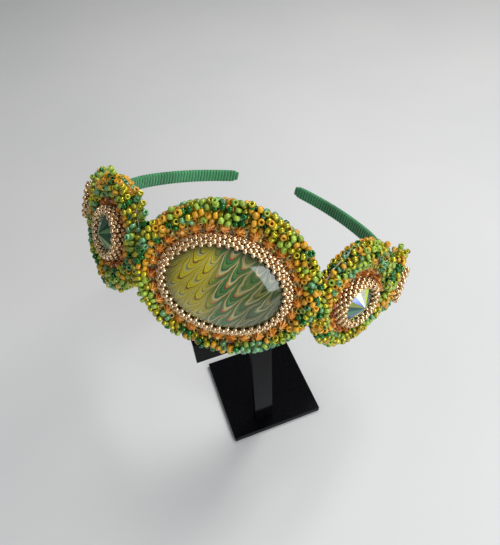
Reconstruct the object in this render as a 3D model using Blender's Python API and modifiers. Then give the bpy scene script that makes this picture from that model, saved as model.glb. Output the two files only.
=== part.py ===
"""Beaded headband on a small display stand.

A hoop wrapped in cord carries five bead-embroidered medallions: a large oval one with a domed glass
cabochon in the middle, and two round ones with a pointed crystal on each side. The hoop's crown rests on
the stand. All lengths are in metres; the part's origin is under the middle of the stand's base, +Z is up
and the middle medallion faces -Y.
"""
import math
from collections import namedtuple

import bmesh
import bpy
from mathutils import Matrix, Vector

MM = 0.001
GAP = 0.3 * MM

# Hoop: two arcs on each side of its middle, and a flat section with round edges.
CROWN_RADIUS = 58.0 * MM
CROWN_HALF_ARC = 115.0 * MM
ARM_RADIUS = 133.0 * MM
ARM_ARC = 60.0 * MM
HOOP_THICKNESS = 2.8 * MM
HOOP_WIDTH = 6.8 * MM
HOOP_SIDES = 8
CROWN_STEPS = 20
ARM_STEPS = 4
TIP_LENGTH = 1.2 * MM

# How the hoop sits on the stand: its middle, its slope towards the tips and its sideways lean.
CROWN_PLACE = Vector((-6.7 * MM, -21.1 * MM, 112.8 * MM))
HOOP_SLOPE = math.radians(24.5)
HOOP_LEAN = math.radians(11.5)

# Stand
STAND_YAW = math.radians(27.5)
BASE_SIDE = 45.0 * MM
BASE_THICKNESS = 3.0 * MM
POST_PLACE = Vector((2.5 * MM, -16.6 * MM, 0.0))
POST_WIDTH = 8.7 * MM
SHEET_THICKNESS = 3.0 * MM
CROSSBAR_LENGTH = 52.0 * MM
CROSSBAR_BOTTOM = 73.0 * MM
CROSSBAR_HEIGHT = 12.0 * MM
POST_TOP = 97.7 * MM
CRADLE_LENGTH = 24.0 * MM
CRADLE_FRONT = 11.0 * MM
CRADLE_BACK = 4.0 * MM
CRADLE_EDGE = 0.6 * MM

# Medallions: their stone's place along the hoop and above its middle line, half sizes of the rim and the
# rim's own shift and rise, half sizes of the collar's outer foot and of the opening that it leaves, then
# the heights above the hoop.
Medallion = namedtuple(
    "Medallion",
    "name arc lift rim_a rim_b shift rise collar_a collar_b opening_a opening_b collar_top crest segments lobes",
)
MEDALLIONS = (
    Medallion("center", 0.0, 0.6, 29.4, 26.3, 0.0, 1.0, 21.3, 16.5, 18.1, 13.7, 6.9, 5.4, 60, 20),
    Medallion("left_inner", -44.3, 0.4, 18.7, 20.4, 0.9, 0.0, 9.2, 9.2, 6.0, 6.0, 7.6, 5.6, 42, 14),
    Medallion("right_inner", 44.2, -1.8, 18.7, 20.4, -0.5, 2.2, 9.2, 9.2, 5.8, 5.8, 7.6, 5.6, 42, 14),
    Medallion("left_outer", -76.0, -1.2, 12.8, 13.6, 0.0, 0.0, 7.0, 7.0, 4.6, 4.6, 9.0, 6.2, 30, 10),
    Medallion("right_outer", 76.0, -3.5, 12.8, 13.6, 0.0, 0.0, 7.0, 7.0, 4.6, 4.6, 9.0, 6.2, 30, 10),
)
BACKING_THICKNESS = 1.5 * MM
BACKING_INSET = 1.2 * MM
RIM_DROP = 0.9 * MM
RIM_LOBE = 0.35 * MM
COLLAR_STEPS = 32
COLLAR_TAPER = 0.3 * MM
COLLAR_LIP = 1.6 * MM

# Ring of small stones around the collar: only the center and inner medallions have one.
RING_MEDALLIONS = ("center", "left_inner", "right_inner")
RING_WIDTH = 4.3 * MM
RING_HEIGHT = 1.0 * MM
STONE_RADIUS = 2.1 * MM
STONE_TABLE = 1.0 * MM
STONE_GIRDLE = 1.7 * MM
STONE_CROWN = 1.4 * MM
STONE_PITCH = 4.6 * MM
STONE_SIDES = 8

# Glass cabochon and pointed crystals
CABOCHON_A = 20.0 * MM
CABOCHON_B = 15.0 * MM
CABOCHON_EDGE = 1.2 * MM
CABOCHON_HEIGHT = 7.6 * MM
CABOCHON_ROWS = 7
CRYSTAL_FACETS = 16
CRYSTAL_CROWN = 2.9 * MM
CRYSTAL_BACK = 3.0 * MM
CRYSTAL_TABLE = 0.5 * MM
CRYSTAL_EDGE = 0.4 * MM
CRYSTAL_OVERLAP = 0.8 * MM

Row = namedtuple("Row", "half_width half_height z rise shift", defaults=(0.0, 0.0))


def clear_scene():
    """Remove the objects that a new Blender file starts with."""
    for found in list(bpy.data.objects):
        bpy.data.objects.remove(found, do_unlink=True)


def add_collection(name):
    """Make a collection in the scene."""
    made = bpy.data.collections.new(name)
    bpy.context.scene.collection.children.link(made)
    return made


def add_material(name, color, roughness, metallic=0.0):
    """Make a plain material for one object."""
    material = bpy.data.materials.new(name)
    material.use_nodes = True
    shader = material.node_tree.nodes["Principled BSDF"]
    shader.inputs["Base Color"].default_value = (*color, 1.0)
    shader.inputs["Roughness"].default_value = roughness
    shader.inputs["Metallic"].default_value = metallic
    return material


def add_object(name, data, collection, parent, finish):
    """Put a mesh or a curve in the collection, under its parent and with its own material."""
    made = bpy.data.objects.new(name, data)
    collection.objects.link(made)
    made.parent = parent
    data.materials.append(add_material(name, *finish))
    return made


def mesh_from(bm, name, smooth_below=None):
    """Turn a bmesh into a mesh; edges flatter than the given angle in degrees are shaded smooth."""
    mesh = bpy.data.meshes.new(name)
    bm.to_mesh(mesh)
    bm.free()
    if smooth_below is not None:
        mesh.shade_smooth()
        mesh.set_sharp_from_angle(angle=math.radians(smooth_below))
    return mesh


def add_empty(name, collection, parent, location, rotation, order="XYZ"):
    """Make a frame that pieces hang on."""
    frame = bpy.data.objects.new(name, None)
    collection.objects.link(frame)
    frame.parent = parent
    frame.location = location
    frame.rotation_mode = order
    frame.rotation_euler = rotation
    return frame


def oval_points(row, segments, lobes=0, lobe_height=0.0):
    """Points of one oval row, with low lobes along it where the row has them."""
    points = []
    for step in range(segments):
        angle = math.tau * step / segments
        swell = lobe_height * math.cos(lobes * angle)
        x = (row.half_width + swell) * math.cos(angle) + row.shift
        y = (row.half_height + swell) * math.sin(angle) + row.rise
        points.append(Vector((x, y, row.z)))
    return points


def loft_rows(rows, segments, closed, lobes=0, lobe_heights=()):
    """Skin a list of oval rows: round and back to the first row, or capped at both ends."""
    bm = bmesh.new()
    loops = []
    for index, row in enumerate(rows):
        height = lobe_heights[index] if lobe_heights else 0.0
        loops.append([bm.verts.new(point) for point in oval_points(row, segments, lobes, height)])
    pairs = list(zip(loops, loops[1:]))
    if closed:
        pairs.append((loops[-1], loops[0]))
    for below, above in pairs:
        for step in range(segments):
            following = (step + 1) % segments
            bm.faces.new((below[step], below[following], above[following], above[step]))
    if not closed:
        bm.faces.new(list(reversed(loops[0])))
        bm.faces.new(loops[-1])
    bmesh.ops.recalc_face_normals(bm, faces=bm.faces)
    return bm


def hoop_station(arc):
    """Place and heading on the crown arc, at a length along the hoop from its middle."""
    angle = arc / CROWN_RADIUS
    place = Vector((CROWN_RADIUS * math.sin(angle), CROWN_RADIUS * (1.0 - math.cos(angle)), 0.0))
    return place, angle


def round_section(bm):
    """The hoop's flat section with round edges, across the hoop at its middle."""
    loop = bmesh.ops.create_circle(bm, cap_ends=False, segments=HOOP_SIDES, radius=1.0)["verts"]
    for vert in loop:
        across, up = vert.co.x, vert.co.y
        across = math.copysign(math.sqrt(abs(across)), across) * HOOP_THICKNESS / 2.0
        up = math.copysign(abs(up) ** 0.6, up) * HOOP_WIDTH / 2.0
        vert.co = Vector((0.0, across, up))
    return list(loop) + list({edge for vert in loop for edge in vert.link_edges})


def build_hoop(collection, frame):
    """Half the hoop, swept along its two arcs and closed at the tip, then mirrored."""
    bm = bmesh.new()
    section = round_section(bm)
    up = (0.0, 0.0, 1.0)
    crown_angle = CROWN_HALF_ARC / CROWN_RADIUS
    crown_center = Vector((0.0, CROWN_RADIUS, 0.0))
    swept = bmesh.ops.spin(
        bm, geom=section, cent=crown_center, axis=up, angle=crown_angle, steps=CROWN_STEPS
    )
    joint = crown_center + Vector((math.sin(crown_angle), -math.cos(crown_angle), 0.0)) * CROWN_RADIUS
    inward = (crown_center - joint).normalized()
    arm_center = joint + inward * ARM_RADIUS
    arm_angle = ARM_ARC / ARM_RADIUS
    swept = bmesh.ops.spin(
        bm, geom=swept["geom_last"], cent=arm_center, axis=up, angle=arm_angle, steps=ARM_STEPS
    )
    end_edges = [item for item in swept["geom_last"] if isinstance(item, bmesh.types.BMEdge)]
    tip = bmesh.ops.extrude_edge_only(bm, edges=end_edges)
    tip_verts = [item for item in tip["geom"] if isinstance(item, bmesh.types.BMVert)]
    tip_edges = [item for item in tip["geom"] if isinstance(item, bmesh.types.BMEdge)]
    heading = crown_angle + arm_angle
    forward = Vector((math.cos(heading), math.sin(heading), 0.0))
    middle = sum((vert.co for vert in tip_verts), Vector()) / len(tip_verts)
    bmesh.ops.scale(bm, vec=(0.6, 0.6, 0.6), space=Matrix.Translation(-middle), verts=tip_verts)
    bmesh.ops.translate(bm, vec=forward * TIP_LENGTH, verts=tip_verts)
    tip_ring = [edge for edge in tip_edges if all(vert in tip_verts for vert in edge.verts)]
    bmesh.ops.contextual_create(bm, geom=tip_ring)
    bmesh.ops.recalc_face_normals(bm, faces=bm.faces)
    mesh = mesh_from(bm, "wrapped_hoop", 50)
    hoop = add_object("wrapped_hoop", mesh, collection, frame, ((0.06, 0.30, 0.12), 0.75))
    mirror = hoop.modifiers.new("Both sides", "MIRROR")
    mirror.use_axis = (True, False, False)
    mirror.merge_threshold = 0.00005
    return hoop


def medallion_frame(medallion, collection, frame):
    """A frame on the hoop's outer face: X along the hoop, Y up its width and Z outward."""
    place, heading = hoop_station(medallion.arc * MM)
    outward = Vector((math.sin(heading), -math.cos(heading), 0.0))
    lift = Vector((0.0, 0.0, medallion.lift * MM))
    seat = place + outward * (HOOP_THICKNESS / 2.0 + GAP) + lift
    return add_empty(medallion.name + "_seat", collection, frame, seat, (math.pi / 2.0, 0.0, heading))


def build_backing(medallion, collection, frame):
    """The flat leather back, a little smaller than the rim."""
    half_width = medallion.rim_a * MM - BACKING_INSET
    half_height = medallion.rim_b * MM - BACKING_INSET
    rise, shift = medallion.rise * MM, medallion.shift * MM
    rows = [
        Row(half_width, half_height, 0.0, rise, shift),
        Row(half_width, half_height, BACKING_THICKNESS, rise, shift),
    ]
    name = medallion.name + "_backing"
    mesh = mesh_from(loft_rows(rows, COLLAR_STEPS, closed=False), name, 40)
    return add_object(name, mesh, collection, frame, ((0.03, 0.09, 0.05), 0.8))


def field_inner_edge(medallion):
    """Half sizes of the hole in the bead field: outside the collar, or outside the ring of stones."""
    reach = 2.0 * GAP
    if medallion.name in RING_MEDALLIONS:
        reach += RING_WIDTH
    return medallion.collar_a * MM + reach, medallion.collar_b * MM + reach


def build_bead_field(medallion, collection, frame):
    """The mound of beads: a ring with a lobed rim that wraps the backing's edge."""
    inner_a, inner_b = field_inner_edge(medallion)
    rim_a = medallion.rim_a * MM
    rim_b = medallion.rim_b * MM
    rise, shift = medallion.rise * MM, medallion.shift * MM
    floor = BACKING_THICKNESS + GAP
    crest = medallion.crest * MM
    skirt_a = rim_a - BACKING_INSET + GAP
    skirt_b = rim_b - BACKING_INSET + GAP

    def between(share, z):
        """A row part of the way from the hole to the rim."""
        half_width = inner_a + (rim_a - inner_a) * share
        half_height = inner_b + (rim_b - inner_b) * share
        return Row(half_width, half_height, z, rise * share, shift * share)

    rows = [
        Row(inner_a, inner_b, floor),
        Row(skirt_a, skirt_b, floor, rise, shift),
        Row(skirt_a, skirt_b, -RIM_DROP * 0.5, rise, shift),
        Row(rim_a - GAP, rim_b - GAP, -RIM_DROP, rise, shift),
        Row(rim_a, rim_b, floor * 0.6, rise, shift),
        between(0.78, crest * 0.82),
        between(0.35, crest),
        between(0.0, crest * 0.88),
    ]
    lobe_heights = (0.0, 0.0, 0.0, RIM_LOBE, RIM_LOBE, RIM_LOBE * 0.6, 0.0, 0.0)
    bm = loft_rows(rows, medallion.segments, True, medallion.lobes, lobe_heights)
    name = medallion.name + "_bead_field"
    return add_object(name, mesh_from(bm, name, 60), collection, frame, ((0.35, 0.42, 0.08), 0.35))


def stone_half_sizes(medallion):
    """Half sizes of the medallion's stone at its widest."""
    if medallion.name == "center":
        return CABOCHON_A, CABOCHON_B
    radius = medallion.opening_a * MM + CRYSTAL_OVERLAP
    return radius, radius


def stone_top(medallion, half_width):
    """Height of the stone's upper face where it is this wide: a dome, or a straight cone."""
    floor = BACKING_THICKNESS + 2.0 * GAP
    widest, _ = stone_half_sizes(medallion)
    if medallion.name == "center":
        share = min(half_width / widest, 1.0)
        dome = (CABOCHON_HEIGHT - CABOCHON_EDGE) * math.sqrt(1.0 - share * share)
        return floor + CABOCHON_EDGE + dome
    share = (widest - half_width) / (widest - CRYSTAL_TABLE)
    return floor + CRYSTAL_BACK + CRYSTAL_EDGE + CRYSTAL_CROWN * share


def build_collar(medallion, collection, frame):
    """The netted collar: a wall that leans in over the stone's edge and stays clear of it."""
    foot_a, foot_b = medallion.collar_a * MM, medallion.collar_b * MM
    open_a, open_b = medallion.opening_a * MM, medallion.opening_b * MM
    stone_a, stone_b = stone_half_sizes(medallion)
    middle_a, middle_b = (open_a + stone_a) / 2.0, (open_b + stone_b) / 2.0
    top = medallion.collar_top * MM
    floor = BACKING_THICKNESS + GAP
    rows = [
        Row(stone_a + GAP, stone_b + GAP, floor),
        Row(foot_a, foot_b, floor),
        Row(foot_a - COLLAR_TAPER, foot_b - COLLAR_TAPER, top * 0.72),
        Row(open_a + COLLAR_LIP, open_b + COLLAR_LIP, top),
        Row(open_a, open_b, top - GAP),
        Row(open_a, open_b, stone_top(medallion, open_a) + 1.8 * GAP),
        Row(middle_a, middle_b, stone_top(medallion, middle_a) + 2.4 * GAP),
        Row(stone_a + GAP, stone_b + GAP, stone_top(medallion, stone_a) + GAP),
    ]
    name = medallion.name + "_bezel"
    mesh = mesh_from(loft_rows(rows, COLLAR_STEPS, closed=True), name, 50)
    return add_object(name, mesh, collection, frame, ((0.62, 0.38, 0.20), 0.3, 0.9))


def build_cabochon(medallion, collection, frame):
    """The domed oval glass: a low straight edge, then a quarter of an ellipse."""
    floor = BACKING_THICKNESS + 2.0 * GAP
    rows = [Row(CABOCHON_A, CABOCHON_B, floor)]
    for step in range(CABOCHON_ROWS):
        angle = math.radians(84.0) * step / (CABOCHON_ROWS - 1)
        spread = math.cos(angle)
        dome = (CABOCHON_HEIGHT - CABOCHON_EDGE) * math.sin(angle)
        rows.append(Row(CABOCHON_A * spread, CABOCHON_B * spread, floor + CABOCHON_EDGE + dome))
    bm = loft_rows(rows, COLLAR_STEPS, closed=False)
    name = medallion.name + "_cabochon"
    return add_object(name, mesh_from(bm, name, 50), collection, frame, ((0.55, 0.50, 0.10), 0.05))


def build_crystal(medallion, collection, frame):
    """A pointed crystal: a ring of facets that rises to a tiny table, and a low cone behind it."""
    radius, _ = stone_half_sizes(medallion)
    floor = BACKING_THICKNESS + 2.0 * GAP
    edge = floor + CRYSTAL_BACK
    rows = [
        Row(CRYSTAL_TABLE * 2.0, CRYSTAL_TABLE * 2.0, floor),
        Row(radius, radius, edge),
        Row(radius, radius, edge + CRYSTAL_EDGE),
        Row(CRYSTAL_TABLE, CRYSTAL_TABLE, edge + CRYSTAL_EDGE + CRYSTAL_CROWN),
    ]
    bm = loft_rows(rows, CRYSTAL_FACETS, closed=False)
    name = medallion.name + "_crystal"
    return add_object(name, mesh_from(bm, name), collection, frame, ((0.25, 0.55, 0.35), 0.05))


def ring_stations(half_width, half_height, pitch):
    """Evenly spaced places along an oval, each with the heading of the oval there."""
    samples = 720
    angles = [math.tau * step / samples for step in range(samples + 1)]
    track = [Vector((half_width * math.cos(a), half_height * math.sin(a), 0.0)) for a in angles]
    lengths = [0.0]
    for here, there in zip(track, track[1:]):
        lengths.append(lengths[-1] + (there - here).length)
    count = round(lengths[-1] / pitch)
    stations = []
    sample = 0
    for index in range(count):
        target = lengths[-1] * index / count
        while lengths[sample + 1] < target:
            sample += 1
        step = track[sample + 1] - track[sample]
        stations.append((track[sample], math.atan2(step.y, step.x)))
    return stations


def add_cut_stone(bm, place, heading, floor):
    """A small round stone with a flat table and a ring of facets around it."""
    foot_height = STONE_GIRDLE - RING_HEIGHT * 0.5
    middle = Vector((place.x, place.y, floor + STONE_GIRDLE - foot_height / 2.0))
    foot = bmesh.ops.create_cone(
        bm,
        cap_ends=True,
        segments=STONE_SIDES,
        radius1=STONE_RADIUS * 0.86,
        radius2=STONE_RADIUS,
        depth=foot_height,
        matrix=Matrix.Translation(middle) @ Matrix.Rotation(heading, 4, "Z"),
    )["verts"]
    faces = {face for vert in foot for face in vert.link_faces}
    top = max(faces, key=lambda face: face.calc_center_median().z)
    bmesh.ops.inset_individual(bm, faces=[top], thickness=STONE_RADIUS - STONE_TABLE, depth=STONE_CROWN)


def build_amber_ring(medallion, collection, cutters, frame):
    """The stones around the collar, fused to the strip that holds them."""
    inner_a = medallion.collar_a * MM + GAP
    inner_b = medallion.collar_b * MM + GAP
    outer_a = inner_a + RING_WIDTH
    outer_b = inner_b + RING_WIDTH
    floor = BACKING_THICKNESS + GAP
    rows = [
        Row(inner_a, inner_b, floor),
        Row(outer_a, outer_b, floor),
        Row(outer_a, outer_b, floor + RING_HEIGHT),
        Row(inner_a, inner_b, floor + RING_HEIGHT),
    ]
    name = medallion.name + "_amber_ring"
    mesh = mesh_from(loft_rows(rows, COLLAR_STEPS, closed=True), name)
    ring = add_object(name, mesh, collection, frame, ((0.62, 0.22, 0.04), 0.15))
    bm = bmesh.new()
    for place, heading in ring_stations((inner_a + outer_a) / 2.0, (inner_b + outer_b) / 2.0, STONE_PITCH):
        add_cut_stone(bm, place, heading, floor)
    stones = bpy.data.objects.new(name + "_stones", mesh_from(bm, name + "_stones"))
    cutters.objects.link(stones)
    stones.parent = frame
    stones.hide_render = True
    stones.display_type = "WIRE"
    union = ring.modifiers.new("Set stones", "BOOLEAN")
    union.operation = "UNION"
    union.solver = "EXACT"
    union.object = stones
    return ring


def build_stand(collection, frame):
    """The square base and the sheet with its post and cross bar."""
    bm = bmesh.new()
    bmesh.ops.create_cube(bm, size=1.0)
    bmesh.ops.scale(bm, vec=(BASE_SIDE, BASE_SIDE, BASE_THICKNESS), verts=bm.verts)
    bmesh.ops.translate(bm, vec=(0.0, 0.0, BASE_THICKNESS / 2.0), verts=bm.verts)
    base = add_object("stand_base", mesh_from(bm, "stand_base"), collection, frame, ((0.01, 0.01, 0.012), 0.08))
    base.rotation_euler = (0.0, 0.0, STAND_YAW)
    edge = base.modifiers.new("Polished edges", "BEVEL")
    edge.width = 0.3 * MM
    edge.segments = 1

    half_post = POST_WIDTH / 2.0
    half_bar = CROSSBAR_LENGTH / 2.0
    bar_top = CROSSBAR_BOTTOM + CROSSBAR_HEIGHT
    right_side = [
        (half_post, BASE_THICKNESS + GAP),
        (half_post, CROSSBAR_BOTTOM),
        (half_bar, CROSSBAR_BOTTOM),
        (half_bar, bar_top),
        (half_post, bar_top),
        (half_post, POST_TOP),
    ]
    outline = right_side + [(-x, z) for x, z in reversed(right_side)]
    curve = bpy.data.curves.new("stand_tee", "CURVE")
    curve.dimensions = "2D"
    curve.fill_mode = "BOTH"
    curve.extrude = SHEET_THICKNESS / 2.0
    spline = curve.splines.new("POLY")
    spline.points.add(len(outline) - 1)
    spline.use_cyclic_u = True
    for point, (x, z) in zip(spline.points, outline):
        point.co = (x, z, 0.0, 1.0)
    tee = add_object("stand_tee", curve, collection, frame, ((0.01, 0.01, 0.012), 0.08))
    tee.location = POST_PLACE
    tee.rotation_euler = (math.pi / 2.0, 0.0, STAND_YAW)


def build_cradle(collection, hoop_frame_matrix):
    """The plain block on the post: its top slopes as the hoop does, and its front clears the medallion."""
    bm = bmesh.new()
    bmesh.ops.create_cube(bm, size=1.0)
    depth = CRADLE_FRONT + CRADLE_BACK
    height = 20.0 * MM
    bmesh.ops.scale(bm, vec=(CRADLE_LENGTH, depth, height), verts=bm.verts)
    forward = (CRADLE_BACK - CRADLE_FRONT) / 2.0
    bmesh.ops.translate(bm, vec=(0.0, forward, height / 2.0), verts=bm.verts)
    seat = POST_PLACE + Vector((0.0, 0.0, POST_TOP + GAP))
    place = Matrix.Translation(seat) @ Matrix.Rotation(STAND_YAW, 4, "Z")
    bmesh.ops.transform(bm, matrix=place, verts=bm.verts)
    turned = hoop_frame_matrix.to_3x3()
    under_hoop = hoop_frame_matrix @ Vector((0.0, 0.0, -HOOP_WIDTH / 2.0 - GAP))
    behind_back = hoop_frame_matrix @ Vector((0.0, -HOOP_THICKNESS / 2.0 + CRADLE_EDGE, 0.0))
    for point, normal in ((under_hoop, (0.0, 0.0, 1.0)), (behind_back, (0.0, -1.0, 0.0))):
        cut = bmesh.ops.bisect_plane(
            bm,
            geom=list(bm.verts) + list(bm.edges) + list(bm.faces),
            plane_co=point,
            plane_no=turned @ Vector(normal),
            clear_outer=True,
        )
        rim = [item for item in cut["geom_cut"] if isinstance(item, bmesh.types.BMEdge)]
        bmesh.ops.contextual_create(bm, geom=rim)
    bmesh.ops.recalc_face_normals(bm, faces=bm.faces)
    mesh = mesh_from(bm, "stand_cradle")
    return add_object("stand_cradle", mesh, collection, None, ((0.01, 0.01, 0.012), 0.08))


def main():
    """Build the headband and its stand."""
    clear_scene()
    parts = add_collection("beaded_headband_on_stand")
    cutters = add_collection("cutters")
    stand_frame = add_empty("stand_frame", parts, None, (0.0, 0.0, 0.0), (0.0, 0.0, 0.0))
    hoop_frame = add_empty("hoop_frame", parts, None, CROWN_PLACE, (-HOOP_SLOPE, HOOP_LEAN, 0.0), "YXZ")
    bpy.context.view_layer.update()
    build_stand(parts, stand_frame)
    build_cradle(parts, hoop_frame.matrix_world.copy())
    build_hoop(parts, hoop_frame)
    for medallion in MEDALLIONS:
        frame = medallion_frame(medallion, parts, hoop_frame)
        build_backing(medallion, parts, frame)
        build_bead_field(medallion, parts, frame)
        build_collar(medallion, parts, frame)
        if medallion.name in RING_MEDALLIONS:
            build_amber_ring(medallion, parts, cutters, frame)
        if medallion.name == "center":
            build_cabochon(medallion, parts, frame)
        else:
            build_crystal(medallion, parts, frame)
    bpy.context.view_layer.update()


main()
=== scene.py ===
import math
from collections import namedtuple

import bmesh
import bpy
import numpy as np
from mathutils import Euler, Matrix, Vector


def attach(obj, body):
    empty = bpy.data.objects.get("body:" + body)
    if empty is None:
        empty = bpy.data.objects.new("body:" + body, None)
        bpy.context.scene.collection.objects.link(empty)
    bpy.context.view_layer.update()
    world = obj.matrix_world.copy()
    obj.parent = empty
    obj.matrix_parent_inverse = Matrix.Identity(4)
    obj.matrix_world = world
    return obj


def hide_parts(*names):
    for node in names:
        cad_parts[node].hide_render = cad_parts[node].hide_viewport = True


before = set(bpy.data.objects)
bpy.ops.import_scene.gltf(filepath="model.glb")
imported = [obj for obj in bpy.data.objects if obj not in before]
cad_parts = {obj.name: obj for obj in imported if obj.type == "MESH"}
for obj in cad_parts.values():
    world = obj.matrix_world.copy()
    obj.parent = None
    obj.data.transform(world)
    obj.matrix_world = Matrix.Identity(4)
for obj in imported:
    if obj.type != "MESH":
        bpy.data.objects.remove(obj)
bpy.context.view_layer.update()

MM = 0.001
GAP = 0.3 * MM

# Hoop, as in the part: two arcs on each side of its middle.
CROWN_RADIUS = 58.0 * MM
CROWN_HALF_ARC = 115.0 * MM
ARM_RADIUS = 133.0 * MM
ARM_ARC = 60.0 * MM
HOOP_THICKNESS = 2.8 * MM
HOOP_WIDTH = 6.8 * MM
CROWN_PLACE = Vector((-6.7 * MM, -21.1 * MM, 112.8 * MM))
HOOP_SLOPE = math.radians(24.5)
HOOP_LEAN = math.radians(11.5)

# Medallions, as in the part: the stone's place along the hoop and above its middle line, half sizes of the
# rim and the rim's own shift and rise, half sizes of the collar and its opening, and the heights above the
# hoop, all in millimetres. The middle one's rim ends 1 mm higher at the bottom than in the part.
Medallion = namedtuple(
    "Medallion",
    "name arc lift rim_a rim_b shift rise collar_a collar_b opening_a opening_b collar_top crest",
)
MEDALLIONS = (
    Medallion("center", 0.0, 0.6, 29.4, 25.8, 0.0, 1.5, 21.3, 16.5, 18.1, 13.7, 6.9, 5.4),
    Medallion("left_inner", -44.3, 0.4, 18.7, 20.4, 0.9, 0.0, 9.2, 9.2, 6.0, 6.0, 7.6, 5.6),
    Medallion("right_inner", 44.2, -1.8, 18.7, 20.4, -0.5, 2.2, 9.2, 9.2, 5.8, 5.8, 7.6, 5.6),
    Medallion("left_outer", -76.0, -1.2, 12.8, 13.6, 0.0, 0.0, 7.0, 7.0, 4.6, 4.6, 9.0, 6.2),
    Medallion("right_outer", 76.0, -3.5, 12.8, 13.6, 0.0, 0.0, 7.0, 7.0, 4.6, 4.6, 9.0, 6.2),
)
RING_MEDALLIONS = ("center", "left_inner", "right_inner")
FIELD_FLOOR = 1.8 * MM
RING_WIDTH = 4.3 * MM
STONE_PITCH = 4.6 * MM
CABOCHON_A = 20.0 * MM
CABOCHON_B = 15.0 * MM
CABOCHON_FLOOR = 2.1 * MM
CABOCHON_EDGE = 1.2 * MM
CABOCHON_HEIGHT = 7.6 * MM
DOME_STEPS = 18
DOME_SEGMENTS = 96

# Print under the glass oval: how fast its arches and stripes follow each other along a metre
ARCH_TURNS = 760.0
STRIPE_COUNT = 130.0

# Seed beads and the collars' fine beads: sizes, and the sides round a bead and round its wall
BeadSize = namedtuple("BeadSize", "radius hole half_length sides wall_sides")
SEED_BEAD = BeadSize(1.1 * MM, 0.42 * MM, 0.8 * MM, 11, 6)
GOLD_BEAD = BeadSize(0.90 * MM, 0.35 * MM, 0.69 * MM, 12, 8)

# The mound's section from its inner edge to just above its rim: levels, shares of the way out, heights as
# shares of the crest and then over the hoop, and how deep the bead middles lie, in millimetres.
MOUND_LEVELS = (0.0, 0.25, 0.55, 0.85, 1.0)
MOUND_SHARES = (0.0, 0.35, 0.78, 1.0, 1.0)
CREST_SHARES = (0.82, 1.0, 0.86)
RIM_HEIGHTS = (3.0 * MM, 1.9 * MM)
BASE_DEPTHS = (1.5, 1.9, 1.8, 1.2, 1.0)

# The mound's layers: share of the beads that fit side by side, spacing, height over the lower layer, how
# far a bead stands off its layer in millimetres, the lowest level, and how light the beads are painted.
Layer = namedtuple("Layer", "share spacing lift wobble lowest light")
# The lower layer's light of 0.6 is painted shade under the upper layer.
LAYERS = (Layer(1.0, 2.0 * MM, 0.0, 0.15, 1.0, 0.6), Layer(0.55, 2.2 * MM, 1.25 * MM, 0.42, 0.8, 1.0))
SEED_FOOTPRINT = 3.1 * MM * MM
SPREAD_ROUNDS = 60
SPREAD_PUSH = 0.35
RUN_REACH = 2.8 * MM
STACK_PITCH = 1.65 * MM
EDGING_PITCH = 2.15 * MM
EDGING_HEIGHT = 0.75
EDGING_SLIP = 1.2

# Netted collars, and how far short of the opening the bead middles of the lip end
GOLD_COLUMN_PITCH = 1.45 * MM
GOLD_ROW_PITCH = 1.85 * MM
OVAL_LIP = 0.65 * MM
CRYSTAL_LIP = 1.4 * MM

# Amber stones: a star of facets round a small table. Pale beads fill a gap between two of them, each with
# its place out from the stones' middles and its height over the leather, in millimetres.
GAP_BEADS = ((1.1, 1.3), (-0.8, 0.7))
STONE_POINTS = 8
STONE_REACH = 2.0 * MM
STONE_VALLEY = 1.6 * MM
STONE_TABLE = 0.5 * MM
STONE_HEIGHT = 2.7 * MM
STONE_LIFT = 0.5 * MM

# Crystal facets' painted reflections, one for each facet, from the +X side round towards +Y
# The bright set has a near white facet as a painted highlight; the deep set is darker.
BRIGHT_FACET_REFLECTIONS = (
    (0.01, 0.03, 0.035), (0.05, 0.12, 0.05), (0.02, 0.05, 0.06), (0.55, 0.72, 0.05),
    (0.95, 0.97, 0.85), (0.42, 0.62, 0.25), (0.16, 0.20, 0.62), (0.38, 0.42, 0.10),
    (0.03, 0.08, 0.09), (0.08, 0.22, 0.12), (0.10, 0.14, 0.30), (0.30, 0.42, 0.08),
    (0.02, 0.06, 0.05), (0.12, 0.30, 0.18), (0.04, 0.06, 0.10), (0.22, 0.30, 0.06),
)
DEEP_FACET_REFLECTIONS = (
    (0.02, 0.07, 0.04), (0.12, 0.26, 0.09), (0.01, 0.04, 0.025), (0.04, 0.12, 0.06),
    (0.01, 0.045, 0.035), (0.10, 0.28, 0.18), (0.34, 0.66, 0.58), (0.03, 0.11, 0.08),
    (0.16, 0.36, 0.24), (0.02, 0.06, 0.04), (0.22, 0.36, 0.16), (0.02, 0.05, 0.02),
    (0.12, 0.26, 0.09), (0.01, 0.04, 0.02), (0.16, 0.28, 0.08), (0.02, 0.06, 0.03),
)

# Bare threads: the stretch round the medallion in degrees, and the level on the mound
THREAD_RADIUS = 0.16 * MM
THREAD_DEPTH = 0.35 * MM
THREAD_SWAY = 0.25 * MM
THREAD_POINTS = 24
THREADS = {
    "left_inner": ((-35.0, 55.0, 0.86), (-20.0, 48.0, 0.93)),
    "right_inner": ((115.0, 190.0, 0.84), (120.0, 180.0, 0.91)),
}

# Felt under the beads: how far it stays inside the rim and under the mound
FELT_EDGE = 2.0 * MM
FELT_DEPTH = 2.4 * MM
FELT_SEGMENTS = 72

# Cord wrapped round the hoop: a wrap starts as a ring of radius 1 and takes the hoop's section from there.
WRAP_PITCH = 2.0 * MM
WRAP_HALF_DEPTH = 0.8 * MM
WRAP_HALF_PITCH = WRAP_PITCH * 0.52
WRAP_UNIT = 0.25
WRAP_LEAN = 0.04
WRAP_SIDES = 8
WRAP_STEPS = 20
TIP_WRAPS = 2

# Camera
CAMERA_PLACE = Vector((17.4 * MM, -116.4 * MM, 228.1 * MM))
CAMERA_AZIMUTH = math.radians(9.79)
CAMERA_PITCH = math.radians(48.9)
CAMERA_ROLL = math.radians(3.46)
CAMERA_LENS = 33.81
CAMERA_SENSOR = 36.0

UP = Vector((0.0, 0.0, 1.0))
WHITE = (1.0, 1.0, 1.0)

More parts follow.
